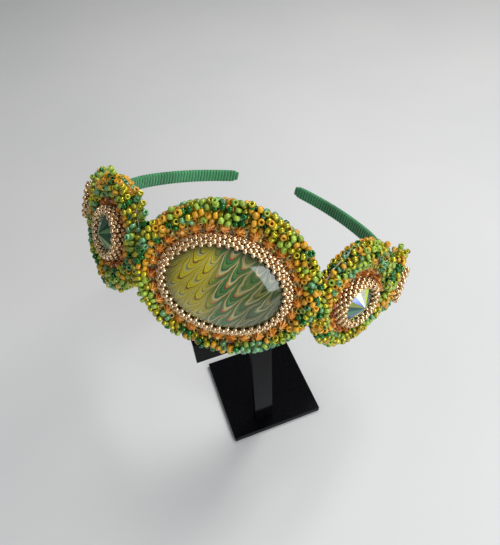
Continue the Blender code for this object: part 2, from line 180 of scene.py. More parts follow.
# Bead colours: how much of a metal lining shows, and the share of the mound's beads
BeadColor = namedtuple("BeadColor", "name color lining share")
BEAD_COLORS = (
    BeadColor("marigold", (0.90, 0.44, 0.008), 0.0, 0.25),
    BeadColor("lime", (0.40, 0.58, 0.05), 0.05, 0.25),
    BeadColor("mint", (0.20, 0.50, 0.21), 0.25, 0.15),
    BeadColor("bottle_green", (0.008, 0.20, 0.020), 0.70, 0.13),
    BeadColor("lemon", (0.68, 0.60, 0.015), 0.60, 0.25),
)
STRAW = BeadColor("straw", (0.56, 0.43, 0.11), 0.35, 0.0)

# Stacks of beads: angle round the medallion in degrees, level on the mound, beads high and bead colour.
# The left inner medallion has a row of them at its rim, on the side of the middle one.
STACKS = {
    "center": (
        (70.0, 0.5, 2, 0), (105.0, 0.6, 2, 1), (128.0, 0.5, 2, 4), (40.0, 0.6, 2, 2), (84.0, 0.75, 2, 3),
    ),
    "left_inner": (
        (96.0, 0.8, 3, 1), (70.0, 0.7, 3, 4), (120.0, 0.6, 2, 0), (20.0, 0.5, 2, 1),
        (62.0, 1.0, 2, 0), (54.0, 1.0, 3, 2), (46.0, 1.0, 3, 4),
        (38.0, 1.0, 3, 1), (30.0, 1.0, 3, 3), (22.0, 1.0, 2, 2),
    ),
    "right_inner": ((110.0, 0.6, 2, 0), (150.0, 0.5, 2, 0), (75.0, 0.7, 2, 4)),
    "left_outer": ((60.0, 0.6, 2, 0),),
    "right_outer": ((112.0, 0.93, 4, 4), (106.0, 0.8, 3, 4), (60.0, 0.6, 2, 1)),
}

# Stripes of the print, as stops along one stripe: position and colour
SUNNY_STRIPE = (
    (0.00, (0.60, 0.50, 0.010)), (0.30, (0.52, 0.44, 0.02)), (0.40, (0.52, 0.47, 0.20)),
    (0.50, (0.08, 0.11, 0.03)), (0.56, (0.56, 0.46, 0.012)), (0.86, (0.48, 0.37, 0.010)),
    (0.93, (0.18, 0.06, 0.02)),
)
FERN_STRIPE = (
    (0.00, (0.015, 0.09, 0.02)), (0.20, (0.05, 0.19, 0.05)), (0.28, (0.16, 0.04, 0.03)),
    (0.38, (0.40, 0.17, 0.06)), (0.48, (0.48, 0.40, 0.08)), (0.60, (0.52, 0.48, 0.30)),
    (0.68, (0.015, 0.10, 0.03)), (0.90, (0.12, 0.22, 0.05)),
)
MISTY_STRIPE = (
    (0.00, (0.035, 0.065, 0.015)), (0.30, (0.08, 0.12, 0.03)), (0.44, (0.40, 0.37, 0.18)),
    (0.54, (0.04, 0.065, 0.015)), (0.80, (0.18, 0.16, 0.03)), (0.92, (0.015, 0.025, 0.008)),
)


def arithmetic(operation, reflected=False):
    """A method of Value that adds one Math node."""

    def method(self, other=0.0):
        first, second = (other, self) if reflected else (self, other)
        return self.finish.node("ShaderNodeMath", {"operation": operation}, {0: first, 1: second})

    return method


class Value:
    """A shader socket that takes part in Python arithmetic."""

    def __init__(self, finish, socket):
        self.finish = finish
        self.socket = socket

    __add__, __radd__ = arithmetic("ADD"), arithmetic("ADD", reflected=True)
    __sub__, __rsub__ = arithmetic("SUBTRACT"), arithmetic("SUBTRACT", reflected=True)
    __mul__, __rmul__ = arithmetic("MULTIPLY"), arithmetic("MULTIPLY", reflected=True)
    __pow__ = arithmetic("POWER")
    sine = arithmetic("SINE")
    floor = arithmetic("FLOOR")
    fraction = arithmetic("FRACT")
    size = arithmetic("ABSOLUTE")
    upto = arithmetic("MINIMUM")
    atleast = arithmetic("MAXIMUM")


class Finish:
    """One procedural material round a Principled shader."""

    def __init__(self, name, **uniform):
        self.material = bpy.data.materials.new(name)
        self.material.use_nodes = True
        self.tree = self.material.node_tree
        self.shader = self.tree.nodes["Principled BSDF"]
        for socket, value in uniform.items():
            self.shader.inputs[socket.replace("_", " ")].default_value = value

    def node(self, kind, settings=None, sockets=None, output=0):
        """Add a node: its settings first, then the values or links of its sockets."""
        made = self.tree.nodes.new(kind)
        for name, value in (settings or {}).items():
            if name == "stops":
                self.set_stops(made.color_ramp, value)
            elif name == "steps":
                made.color_ramp.interpolation = value
            else:
                setattr(made, name, value)
        for name, value in (sockets or {}).items():
            self.feed(made.inputs[name], value)
        return Value(self, made.outputs[output])

    def set_stops(self, ramp, stops):
        """Give a colour ramp its stops: position and colour."""
        while len(ramp.elements) < len(stops):
            ramp.elements.new(1.0)
        for element, (position, color) in zip(ramp.elements, stops):
            element.position = position
            element.color = (*color, 1.0)

    def feed(self, socket, value):
        """Link a Value to a socket, or set it to a plain value."""
        if isinstance(value, Value):
            self.tree.links.new(value.socket, socket)
        elif isinstance(value, tuple) and len(value) == 3 and socket.type == "RGBA":
            socket.default_value = (*value, 1.0)
        else:
            socket.default_value = value

    def paint(self, **sockets):
        """Feed the shader's own sockets."""
        for name, value in sockets.items():
            self.feed(self.shader.inputs[name.replace("_", " ")], value)

    def place(self):
        """Object coordinates."""
        return self.node("ShaderNodeTexCoord", output="Object")

    def attribute(self, name, output="Color"):
        """An attribute that the mesh carries."""
        return self.node("ShaderNodeAttribute", {"attribute_name": name}, output=output)

    def noise(self, scale, detail=3.0, vector=None, output="Fac"):
        """Noise from 0 to 1 at so many waves a metre."""
        sockets = {"Vector": vector or self.place(), "Scale": scale, "Detail": detail}
        return self.node("ShaderNodeTexNoise", None, sockets, output)

    def ramp(self, factor, stops, steps="LINEAR"):
        """Colours along a factor."""
        return self.node("ShaderNodeValToRGB", {"steps": steps, "stops": stops}, {"Fac": factor})

    def mix(self, factor, first, second, blend="MIX"):
        """Blend two colours."""
        settings = {"data_type": "RGBA", "blend_type": blend}
        return self.node("ShaderNodeMix", settings, {0: factor, 6: first, 7: second}, 2)

    def in_medallion(self, medallion):
        """Object coordinates turned into a medallion's own frame, with their X and Y."""
        inverse = medallion_matrix(medallion).inverted()
        place, turn = inverse.to_translation(), inverse.to_euler()
        sockets = {"Vector": self.place(), "Location": place, "Rotation": turn}
        turned = self.node("ShaderNodeMapping", {"vector_type": "POINT"}, sockets)
        x, y = (self.node("ShaderNodeSeparateXYZ", None, {0: turned}, axis) for axis in "XY")
        return turned, x, y

    def raise_surface(self, height, distance, strength=1.0):
        """Bump from a height."""
        sockets = {"Strength": strength, "Distance": distance, "Height": height}
        self.paint(Normal=self.node("ShaderNodeBump", None, sockets))


# Places


def hoop_matrix():
    """The hoop's frame: X to the right, Y back and Z across the band."""
    turned = Euler((-HOOP_SLOPE, HOOP_LEAN, 0.0), "YXZ").to_matrix()
    return Matrix.Translation(CROWN_PLACE) @ turned.to_4x4()


def outward_at(heading):
    """The direction out of the hoop where it has turned by a heading."""
    return Vector((math.sin(heading), -math.cos(heading), 0.0))


def oval_point(half_width, half_height, angle, z=0.0):
    """A point of an oval."""
    return Vector((half_width * math.cos(angle), half_height * math.sin(angle), z))


def hoop_station(arc):
    """Place and heading along the hoop's right half, at a length from its middle; left is negative."""
    side = math.copysign(1.0, arc)
    crown = min(abs(arc), CROWN_HALF_ARC)
    heading = crown / CROWN_RADIUS
    place = Vector((CROWN_RADIUS * math.sin(heading), CROWN_RADIUS * (1.0 - math.cos(heading)), 0.0))
    beyond = abs(arc) - crown
    if beyond > 0.0:
        center = place - outward_at(heading) * ARM_RADIUS
        heading += beyond / ARM_RADIUS
        place = center + outward_at(heading) * ARM_RADIUS
    place.x *= side
    return place, heading * side


def medallion_matrix(medallion):
    """A medallion's frame: X along the hoop, Y up its width and Z outward, from the hoop's face."""
    place, heading = hoop_station(medallion.arc * MM)
    place += outward_at(heading) * (HOOP_THICKNESS / 2.0 + GAP) + UP * (medallion.lift * MM)
    facing = Euler((math.pi / 2.0, 0.0, heading), "XYZ").to_matrix().to_4x4()
    return hoop_matrix() @ Matrix.Translation(place) @ facing


def even_angles(half_width, half_height, count):
    """Angles at even lengths along an oval."""
    fine = np.linspace(0.0, math.tau, 1441)
    track = np.stack((half_width * np.cos(fine), half_height * np.sin(fine)), axis=1)
    lengths = np.concatenate(([0.0], np.cumsum(np.linalg.norm(np.diff(track, axis=0), axis=1))))
    return np.interp(np.arange(count) * lengths[-1] / count, lengths, fine)


# Meshes


def mesh_from(bm, name):
    """Turn a bmesh into a mesh."""
    mesh = bpy.data.meshes.new(name)
    bm.to_mesh(mesh)
    bm.free()
    return mesh


def add_object(name, data):
    """A new object in the scene."""
    made = bpy.data.objects.new(name, data)
    bpy.context.scene.collection.objects.link(made)
    return made


def set_finish(mesh, finish):
    """Give a mesh its finish in place of any other."""
    mesh.materials.clear()
    mesh.materials.append(finish.material)


def add_piece(name, mesh, finish, replaces=()):
    """Show a mesh as a piece of the headband."""
    piece = add_object(name, mesh)
    set_finish(mesh, finish)
    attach(piece, "root")
    if replaces:
        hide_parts(*replaces)


Row = namedtuple("Row", "half_width half_height z rise shift", defaults=(0.0, 0.0))


def oval_rows(rows, segments, closed):
    """Skin oval rows, each extruded from the one before."""
    bm = bmesh.new()
    loop = bmesh.ops.create_circle(bm, cap_ends=not closed, segments=segments, radius=1.0)["verts"]
    angles = [math.atan2(vert.co.y, vert.co.x) for vert in loop]
    edges = list(bm.edges)
    opening = list(edges)
    for index, row in enumerate(rows):
        if index:
            grown = bmesh.ops.extrude_edge_only(bm, edges=edges)["geom"]
            fresh = [item for item in grown if isinstance(item, bmesh.types.BMVert)]
            partner = {}
            for vert in fresh:
                for edge in vert.link_edges:
                    other = edge.other_vert(vert)
                    if other not in fresh:
                        partner[other] = vert
            loop = [partner[vert] for vert in loop]
            edges = [item for item in grown if isinstance(item, bmesh.types.BMEdge)]
            edges = [edge for edge in edges if all(vert in fresh for vert in edge.verts)]
        for vert, angle in zip(loop, angles):
            x = row.half_width * math.cos(angle) + row.shift
            vert.co = Vector((x, row.half_height * math.sin(angle) + row.rise, row.z))
    if closed:
        bmesh.ops.bridge_loops(bm, edges=opening + edges)
    else:
        bmesh.ops.contextual_create(bm, geom=edges)
    bmesh.ops.recalc_face_normals(bm, faces=bm.faces)
    return bm


def add_template(name, bm, smooth=True):
    """A small shape that is stamped many times."""
    mesh = mesh_from(bm, name)
    if smooth:
        mesh.shade_smooth()
    return add_object(name, mesh)


def signed_power(value, power):
    """A power that keeps the sign, which makes a round shape squarer."""
    return math.copysign(abs(value) ** power, value)


def spin_section(bm, section, steps, merge):
    """Turn a section once round Z and close the seam."""
    geometry = list(section) + list(bm.edges)
    bmesh.ops.spin(
        bm, geom=geometry, cent=(0.0, 0.0, 0.0), axis=UP, angle=math.tau, steps=steps, use_merge=True
    )
    bmesh.ops.remove_doubles(bm, verts=bm.verts, dist=merge)


def bead_template(name, size):
    """A bead with a rounded wall round its hole, along Z."""
    bm = bmesh.new()
    wall = bmesh.ops.create_circle(bm, cap_ends=False, segments=size.wall_sides, radius=1.0)["verts"]
    half_wall = (size.radius - size.hole) / 2.0
    for vert in wall:
        across = signed_power(vert.co.x, 0.85)
        along = signed_power(vert.co.y, 0.85)
        vert.co = Vector((size.hole + half_wall * (1.0 + across), 0.0, along * size.half_length))
    spin_section(bm, wall, size.sides, 0.001 * MM)
    bmesh.ops.recalc_face_normals(bm, faces=bm.faces)
    return add_template(name, bm)


Station = namedtuple("Station", "place turn size tint lining")


def stamp(name, template, stations):
    """Join one copy of the template at each station, through Geometry Nodes with its instances realized."""
    cloud = bpy.data.meshes.new(name + "_points")
    cloud.vertices.add(len(stations))
    cloud.vertices.foreach_set("co", np.array([item.place for item in stations]).ravel())
    columns = (
        ("turn", "QUATERNION", "value"),
        ("size", "FLOAT_VECTOR", "vector"),
        ("tint", "FLOAT_COLOR", "color"),
        ("lining", "FLOAT", "value"),
    )
    for label, kind, field in columns:
        column = cloud.attributes.new(label, kind, "POINT")
        values = np.array([getattr(item, label) for item in stations], dtype=np.float32)
        column.data.foreach_set(field, values.ravel())
    holder = add_object(name + "_points", cloud)
    group = bpy.data.node_groups.new(name + "_stamp", "GeometryNodeTree")
    for side in ("INPUT", "OUTPUT"):
        group.interface.new_socket("Geometry", in_out=side, socket_type="NodeSocketGeometry")
    entry = group.nodes.new("NodeGroupInput")
    leave = group.nodes.new("NodeGroupOutput")
    shape = group.nodes.new("GeometryNodeObjectInfo")
    shape.inputs["Object"].default_value = template
    copies = group.nodes.new("GeometryNodeInstanceOnPoints")
    joined = group.nodes.new("GeometryNodeRealizeInstances")
    group.links.new(entry.outputs[0], copies.inputs["Points"])
    group.links.new(shape.outputs["Geometry"], copies.inputs["Instance"])
    for (label, kind, _), target in zip(columns, ("Rotation", "Scale")):
        reader = group.nodes.new("GeometryNodeInputNamedAttribute")
        reader.data_type = kind
        reader.inputs["Name"].default_value = label
        group.links.new(reader.outputs["Attribute"], copies.inputs[target])
    group.links.new(copies.outputs["Instances"], joined.inputs["Geometry"])
    group.links.new(joined.outputs["Geometry"], leave.inputs[0])
    holder.modifiers.new("Stamp", "NODES").node_group = group
    graph = bpy.context.evaluated_depsgraph_get()
    graph.update()
    mesh = bpy.data.meshes.new_from_object(
        holder.evaluated_get(graph), preserve_all_data_layers=True, depsgraph=graph
    )
    bpy.data.objects.remove(holder)
    return mesh


def turn_onto(axis, beside, roll=0.0):
    """The rotation that lays a template's Z on an axis and its X beside it."""
    z = axis.normalized()
    x = beside - z * beside.dot(z)
    if x.length < 1e-9:
        x = z.orthogonal()
    x.normalize()
    turned = Matrix((x, z.cross(x), z)).transposed() @ Matrix.Rotation(roll, 3, "Z")
    return turned.to_quaternion()


def station(matrix, place, axis, beside, size, tint, lining, roll=0.0):
    """The place and look of one copy, given in a medallion's or the hoop's own frame."""
    turned = matrix.to_3x3()
    turn = turn_onto(turned @ Vector(axis), turned @ Vector(beside), roll)
    return Station(matrix @ Vector(place), turn, size, (*tint, 1.0), lining)


# Seed bead mounds


def field_inner_edge(medallion):
    """Half sizes of the mound's inner edge, outside the collar or the ring of stones."""
    reach = GAP
    if medallion.name in RING_MEDALLIONS:
        reach += RING_WIDTH - 0.5 * MM
    return medallion.collar_a * MM + reach, medallion.collar_b * MM + reach


def mound_surface(medallion, angle, level):
    """Points of the mound: level 0 is its inner edge, 1 is just above the edging round its rim."""
    inner_a, inner_b = field_inner_edge(medallion)
    crest = medallion.crest * MM
    share = np.interp(level, MOUND_LEVELS, MOUND_SHARES)
    z = np.interp(level, MOUND_LEVELS, (*(crest * height for height in CREST_SHARES), *RIM_HEIGHTS))
    half_width = inner_a + (medallion.rim_a * MM - inner_a) * share
    half_height = inner_b + (medallion.rim_b * MM - inner_b) * share
    x = half_width * np.cos(angle) + medallion.shift * MM * share
    y = half_height * np.sin(angle) + medallion.rise * MM * share
    return np.stack((x, y, z), axis=-1)


def mound_frame(medallion, angle, level):
    """Points of the mound with their directions along the rim, down the side and outward."""
    step = 1e-3
    place = mound_surface(medallion, angle, level)
    along = (mound_surface(medallion, angle + step, level) - place) / step
    low = np.clip(level - step, 0.0, 1.0 - 2.0 * step)
    down = mound_surface(medallion, angle, low + 2.0 * step) - mound_surface(medallion, angle, low)
    down /= 2.0 * step
    normal = np.cross(down, along)
    normal /= np.linalg.norm(normal, axis=1, keepdims=True)
    return place, along, down, normal


def base_depth(level):
    """How deep the lower layer's bead middles lie under the mound's surface."""
    return np.interp(level, MOUND_LEVELS, BASE_DEPTHS) * MM


def spread_beads(medallion, count, layer, draw):
    """Scatter beads over the mound and push them apart until they lie evenly."""
    angle = draw.uniform(0.0, math.tau, count)
    level = draw.uniform(0.0, layer.lowest, count)
    for _ in range(SPREAD_ROUNDS):
        place, along, down, normal = mound_frame(medallion, angle, level)
        place = place - normal * (base_depth(level) - layer.lift)[:, None]
        apart = place[:, None, :] - place[None, :, :]
        distance = np.linalg.norm(apart, axis=2) + np.eye(count)
        push = np.clip(layer.spacing - distance, 0.0, None) / distance
        np.fill_diagonal(push, 0.0)
        move = (apart * push[:, :, None]).sum(axis=1) * SPREAD_PUSH
        angle += (move * along).sum(axis=1) / (along * along).sum(axis=1)
        level += (move * down).sum(axis=1) / (down * down).sum(axis=1)
        level = np.clip(level, 0.0, layer.lowest)
    return angle, level


def mound_area(medallion):
    """Surface of the mound, summed over a grid."""
    angle, level = np.meshgrid(np.linspace(0.0, math.tau, 181), np.linspace(0.0, 1.0, 41), indexing="ij")
    place = mound_surface(medallion, angle, level)
    along = place[1:, :-1] - place[:-1, :-1]
    down = place[:-1, 1:] - place[:-1, :-1]
    return float(np.linalg.norm(np.cross(along, down), axis=2).sum())


def pick_bead_colors(places, draw):
    """Give beads their colours in short runs, as they come off the needle, and the neighbours in a run."""
    shares = np.array([color.share for color in BEAD_COLORS])
    shares /= shares.sum()
    chosen = np.full(len(places), -1)
    neighbour = np.full(len(places), -1)
    for start in draw.permutation(len(places)):
        if chosen[start] >= 0:
            continue
        color = draw.choice(len(BEAD_COLORS), p=shares)
        here = start
        chosen[here] = color
        for _ in range(draw.integers(0, 3)):
            distance = np.linalg.norm(places - places[here], axis=1)
            distance[chosen >= 0] = 1.0
            following = int(distance.argmin())
            if distance[following] > RUN_REACH:
                break
            chosen[following] = color
            neighbour[following] = here
            neighbour[here] = following
            here = following
    return chosen, neighbour


def bead_station(matrix, place, axis, beside, color, draw, light=1.0):
    """One seed bead, a little off the others in size, length and tone; a light under 1 adds painted shade.
    """
    shade = light * draw.uniform(0.74, 1.08)
    grow = draw.uniform(0.92, 1.05)
    stretch = draw.uniform(0.85, 1.08)
    tint = tuple(channel * shade for channel in color.color)
    return station(matrix, place, axis, beside, (grow, grow, grow * stretch), tint, color.lining)


def mound_stations(medallion, matrix, draw):
    """The mound's beads: an even lower layer, and a looser one on top of it."""
    count = int(mound_area(medallion) / SEED_FOOTPRINT)
    stations = []
    for layer in LAYERS:
        beads = int(count * layer.share)
        angle, level = spread_beads(medallion, beads, layer, draw)
        place, along, _, normal = mound_frame(medallion, angle, level)
        depth = base_depth(level) - layer.lift + draw.uniform(-layer.wobble, layer.wobble, beads) * MM
        place = place - normal * depth[:, None]
        chosen, neighbour = pick_bead_colors(place, draw)
        for bead in range(beads):
            face = Vector(normal[bead])
            if neighbour[bead] >= 0 and draw.random() < 0.7:
                axis = Vector(place[bead] - place[neighbour[bead]])
            elif draw.random() < 0.4:
                axis = face + Vector(draw.normal(0.0, 0.3, 3))
            else:
                axis = Vector(along[bead]).normalized() + Vector(draw.normal(0.0, 0.5, 3))
            color = BEAD_COLORS[chosen[bead]]
            # layer.light paints the lower layer's beads darker, as painted shade.
            stations.append(bead_station(matrix, place[bead], axis, face, color, draw, layer.light))
    return stations


def edging_stations(medallion, matrix, draw):
    """The edging: one row of beads round the leather, with their holes facing out."""
    half_width = medallion.rim_a * MM - SEED_BEAD.half_length
    half_height = medallion.rim_b * MM - SEED_BEAD.half_length
    perimeter = math.pi * (half_width + half_height)
    angles = even_angles(half_width, half_height, round(perimeter / EDGING_PITCH))
    middle = Vector((medallion.shift, medallion.rise, EDGING_HEIGHT)) * MM
    track = [middle + oval_point(half_width, half_height, angle) for angle in angles]
    chosen, _ = pick_bead_colors(np.array(track), draw)
    stations = []
    for place, angle, color in zip(track, angles, chosen):
        outward = Vector((math.cos(angle) / half_width, math.sin(angle) / half_height, 0.0)).normalized()
        slip = Vector(draw.normal(0.0, 0.12, 3))
        place = place + slip * MM * EDGING_SLIP
        stations.append(bead_station(matrix, place, outward + slip, UP, BEAD_COLORS[color], draw))
    return stations


def stack_stations(medallion, matrix, draw):
    """Small stacks of beads that stand up from the mound, each held by its own top bead."""
    stations = []
    for angle, level, height, color in STACKS.get(medallion.name, ()):
        spot = mound_frame(medallion, np.array([math.radians(angle)]), np.array([level]))
        place, along, normal = Vector(spot[0][0]), Vector(spot[1][0]).normalized(), Vector(spot[3][0])
        lean = normal + along * draw.normal(0.0, 0.15)
        for bead in range(height):
            middle = place + lean * (bead * STACK_PITCH)
            kind = BEAD_COLORS[(color + (bead == height - 1) * draw.integers(0, 3)) % len(BEAD_COLORS)]
            stations.append(bead_station(matrix, middle, lean, along, kind, draw))
    return stations


def gap_stations(medallion, matrix, draw):
    """Pale beads that fill the gaps between the amber stones."""
    stations = []
    if medallion.name in RING_MEDALLIONS:
        half_width, half_height, angles = stone_track(medallion)
        step = math.tau / len(angles) / 2.0
        for angle in angles:
            for reach, height in GAP_BEADS:
                turn = angle + step + draw.normal(0.0, 0.02)
                out, z = reach * MM, FIELD_FLOOR + height * MM
                middle = oval_point(half_width + out, half_height + out, turn, z)
                axis = UP + Vector(draw.normal(0.0, 0.4, 3))
                stations.append(bead_station(matrix, middle, axis, (1.0, 0.0, 0.0), STRAW, draw))
    return stations


def seed_stations(medallion, matrix, draw):
    """All seed beads of one medallion."""
    stations = []
    for beads in (mound_stations, edging_stations, stack_stations, gap_stations):
        stations += beads(medallion, matrix, draw)
    return stations


# Collars of fine metal beads


def collar_profile(medallion):
    """Distance in from the collar's foot and height, down the middle of the bead wall."""
    top = medallion.collar_top * MM
    reach = (medallion.collar_a - medallion.opening_a) * MM
    radius = GOLD_BEAD.radius
    lip = reach - (OVAL_LIP if medallion.name == "center" else CRYSTAL_LIP)
    points = [
        (0.1 * MM, FIELD_FLOOR + radius),
        (0.2 * MM, top * 0.66),
        (lip - 0.8 * MM, top - radius * 0.9),
        (lip, top - radius * 1.25),
    ]
    if medallion.name != "center":
        points.append((lip + 0.25 * MM, top - radius * 1.25 - GOLD_ROW_PITCH))
    lengths = [0.0]
    for here, there in zip(points, points[1:]):
        lengths.append(lengths[-1] + math.dist(here, there))
    return points, lengths


def gold_stations(medallion, matrix, draw):
    """Beads of the netted collar in columns, every other column half a bead higher."""
    points, lengths = collar_profile(medallion)
    foot_a, foot_b = medallion.collar_a * MM, medallion.collar_b * MM
    root = math.sqrt((3.0 * foot_a + foot_b) * (foot_a + 3.0 * foot_b))
    perimeter = math.pi * (3.0 * (foot_a + foot_b) - root)
    columns = 2 * round((perimeter - 2.0 * GOLD_BEAD.radius) / GOLD_COLUMN_PITCH / 2.0)
    insets, heights = zip(*points)
    stations = []
    for column, angle in enumerate(even_angles(foot_a, foot_b, columns)):
        along = 0.5 * GOLD_ROW_PITCH * (column % 2)
        while along <= lengths[-1]:
            inset = float(np.interp(along, lengths, insets))
            z = float(np.interp(along, lengths, heights))
            place = oval_point(foot_a - inset, foot_b - inset, angle, z)
            tangent = Vector((-(foot_a - inset) * math.sin(angle), (foot_b - inset) * math.cos(angle), 0.0))
            jitter = Vector(draw.normal(0.0, 0.03, 3))
            shade = draw.uniform(0.88, 1.1)
            pitch = tangent.length * math.tau / columns / GOLD_COLUMN_PITCH
            size = (1.0, 1.0, max(0.75, min(1.1, pitch)))
            axis = tangent.normalized() + jitter
            place += jitter * MM
            stations.append(station(matrix, place, axis, UP, size, (shade, shade, shade), 1.0))
            along += GOLD_ROW_PITCH
    return stations


# Amber stones


def stone_template():
    """A faceted round stone: ridges and valleys run from its table to its foot, marked 1 and 0 for a
    painted highlight on the ridges and painted shade in the valleys.
    """
    rows = (
        Row(STONE_VALLEY, STONE_VALLEY, 0.0),
        Row(STONE_REACH, STONE_REACH, STONE_HEIGHT * 0.4),
        Row(STONE_TABLE, STONE_TABLE, STONE_HEIGHT),
    )
    bm = oval_rows(rows, STONE_POINTS * 2, closed=False)
    petal = bm.verts.layers.float.new("petal")
    for vert in bm.verts:
        turn = math.atan2(vert.co.y, vert.co.x) / math.tau * STONE_POINTS * 2
        valley = round(turn) % 2
        table = vert.co.z > STONE_HEIGHT * 0.9
        vert[petal] = 0.6 if table else 1.0 - valley
        if valley and not table:
            vert.co.x *= STONE_VALLEY / STONE_REACH
            vert.co.y *= STONE_VALLEY / STONE_REACH
    bmesh.ops.triangulate(bm, faces=bm.faces)
    return add_template("stone_template", bm, smooth=False)


def stone_track(medallion):
    """Half sizes of the oval that the stones stand on, and their angles."""
    half_width = medallion.collar_a * MM + STONE_REACH + GAP
    half_height = medallion.collar_b * MM + STONE_REACH + GAP
    count = round(math.pi * (half_width + half_height) / STONE_PITCH)
    return half_width, half_height, even_angles(half_width, half_height, count)


def stone_stations(medallion, matrix, draw):
    """Amber stones side by side round the collar."""
    half_width, half_height, angles = stone_track(medallion)
    # The stones of the inner medallions are made darker through the lining.
    darker = 0.0 if medallion.name == "center" else 1.0
    stations = []
    for angle in angles:
        place = oval_point(half_width, half_height, angle, FIELD_FLOOR + STONE_LIFT)
        axis = UP + Vector(draw.normal(0.0, 0.12, 3))
        roll = draw.uniform(0.0, math.tau)
        # The tint only shifts each stone's painted glint pattern.
        tint = (draw.random(), draw.random(), draw.random())
        stations.append(station(matrix, place, axis, (1.0, 0.0, 0.0), (1.0, 1.0, 1.0), tint, darker, roll))
    return stations


# Finishes


def seed_bead_finish():
    """Glass beads: opaque, lustred and silver-lined ones told apart by their lining."""
    finish = Finish("seed_bead_glass", IOR=1.5, Coat_Roughness=0.05)
    lining = finish.attribute("lining", "Fac")
    blotch = finish.noise(900.0, 2.0)
    shade = finish.ramp(blotch, ((0.3, (0.74, 0.74, 0.74)), (0.7, WHITE)))
    finish.paint(
        Base_Color=finish.mix(1.0, finish.attribute("tint"), shade, "MULTIPLY"),
        Metallic=lining * 0.85,
        Roughness=0.30 - lining * 0.14 + blotch * 0.06,
        Coat_Weight=0.48,
    )
    return finish


def rose_gold_finish():
    """Galvanized pale rose gold with slight wear."""
    finish = Finish("rose_gold_beads", Metallic=1.0)
    wear = finish.noise(1400.0, 4.0)
    stops = ((0.25, (0.60, 0.38, 0.19)), (0.5, (0.90, 0.65, 0.39)), (0.8, (1.0, 0.85, 0.60)))
    metal = finish.ramp(wear, stops)
    finish.paint(
        Base_Color=finish.mix(1.0, metal, finish.attribute("tint"), "MULTIPLY"),
        Roughness=0.20 + wear * 0.14,
    )
    return finish


def amber_finish():
    """Faceted amber glass with painted glints: noise over each facet's normal paints it bright orange or
    dark; a lining of 1 makes the stone darker.
    """
    finish = Finish("amber_glass", IOR=1.6, Coat_Roughness=0.03)
    sockets = {0: finish.node("ShaderNodeNewGeometry", output="Normal"), 1: finish.attribute("tint")}
    shifted = finish.node("ShaderNodeVectorMath", {"operation": "ADD"}, sockets)
    # Painted glint: bright facets are also made more metallic and a little rougher.
    painted_glint = finish.noise(4.5, 1.0, vector=shifted)
    # Painted light: ridges painted lighter and valleys darker, which draws dark lines between the star's
    # points.
    petal = finish.attribute("petal", "Fac") ** 0.5
    stops = (
        (0.41, (0.06, 0.008, 0.001)), (0.50, (0.40, 0.09, 0.009)),
        (0.61, (0.96, 0.34, 0.03)), (0.73, (1.0, 0.64, 0.18)),
    )
    color = finish.ramp(painted_glint * 0.75 + petal * 0.30 - finish.attribute("lining", "Fac") * 0.07, stops)
    finish.paint(Base_Color=color, Metallic=painted_glint * 0.6, Roughness=0.2 + painted_glint * 0.1, Coat_Weight=0.35)
    return finish


def felt_finish():
    """Beige beading felt with a short nap."""
    finish = Finish("beading_felt", Roughness=0.95, Sheen_Weight=0.4, Sheen_Roughness=0.6)
    nap = finish.noise(2600.0, 6.0)
    broad = finish.noise(260.0, 2.0)
    color = finish.ramp(nap * 0.7 + broad * 0.3, ((0.3, (0.17, 0.11, 0.05)), (0.7, (0.46, 0.34, 0.18))))
    finish.paint(Base_Color=color)
    finish.raise_surface(nap, 0.25 * MM)
    return finish


def thread_finish():
    """Grey beading thread with a fine twist."""
    finish = Finish("grey_thread", Roughness=0.55, Sheen_Weight=0.3)
    twist = finish.noise(3000.0, 3.0)
    finish.paint(Base_Color=finish.ramp(twist, ((0.3, (0.25, 0.23, 0.20)), (0.7, (0.62, 0.60, 0.56)))))
    finish.raise_surface(twist, 0.05 * MM)
    return finish


def leather_finish():
    """Dark green leather with a fine pebbled grain."""
    finish = Finish("backing_leather", Roughness=0.6)
    sockets = {"Vector": finish.place(), "Scale": 1500.0}
    grain = finish.node("ShaderNodeTexVoronoi", {"feature": "SMOOTH_F1"}, sockets, "Distance")
    patch = finish.noise(150.0, 4.0)
    color = finish.ramp(patch + grain * 0.3, ((0.3, (0.012, 0.040, 0.020)), (0.8, (0.035, 0.095, 0.050))))
    finish.paint(Base_Color=color, Roughness=0.5 + patch * 0.25)
    finish.raise_surface(grain, 0.12 * MM, 0.7)
    return finish


def cord_finish():
    """Green satin cord: fine strands run along each wrap, and painted shade darkens each wrap towards its
    grooves.
    """
    finish = Finish("green_satin_cord", Sheen_Weight=0.35, Sheen_Roughness=0.4)
    strand = finish.attribute("strand", "Fac")
    lay = finish.noise(700.0, 3.0)
    threads = (strand * 44.0 + lay * 2.0).sine() * 0.5 + 0.5
    patch = finish.noise(60.0, 2.0)
    stops = ((0.25, (0.018, 0.17, 0.050)), (0.55, (0.038, 0.30, 0.100)), (0.85, (0.080, 0.43, 0.17)))
    color = finish.ramp(threads * 0.3 + patch * 0.7, stops)
    # Painted shade: darker down the cord's sides and underside, where it meets the next wrap and the hoop.
    painted_groove_shade = finish.ramp(strand, ((0.14, WHITE), (0.44, (0.22, 0.26, 0.22))))
    finish.paint(Base_Color=finish.mix(1.0, color, painted_groove_shade, "MULTIPLY"), Roughness=0.62 - threads * 0.18)
    finish.raise_surface(threads, 0.05 * MM, 0.8)
    return finish


def acrylic_finish():
    """Black polished acrylic with a little dust and faint hairlines."""
    finish = Finish("black_acrylic", IOR=1.14)
    dust = finish.noise(5200.0, 2.0) ** 9.0
    cloud = finish.noise(45.0, 3.0)
    hair = finish.noise(300.0, 8.0)
    color = finish.ramp(dust * 60.0, ((0.0, (0.001, 0.001, 0.0015)), (1.0, (0.010, 0.010, 0.012))))
    finish.paint(Base_Color=color, Roughness=0.06 + cloud * 0.08 + hair * 0.03)
    return finish


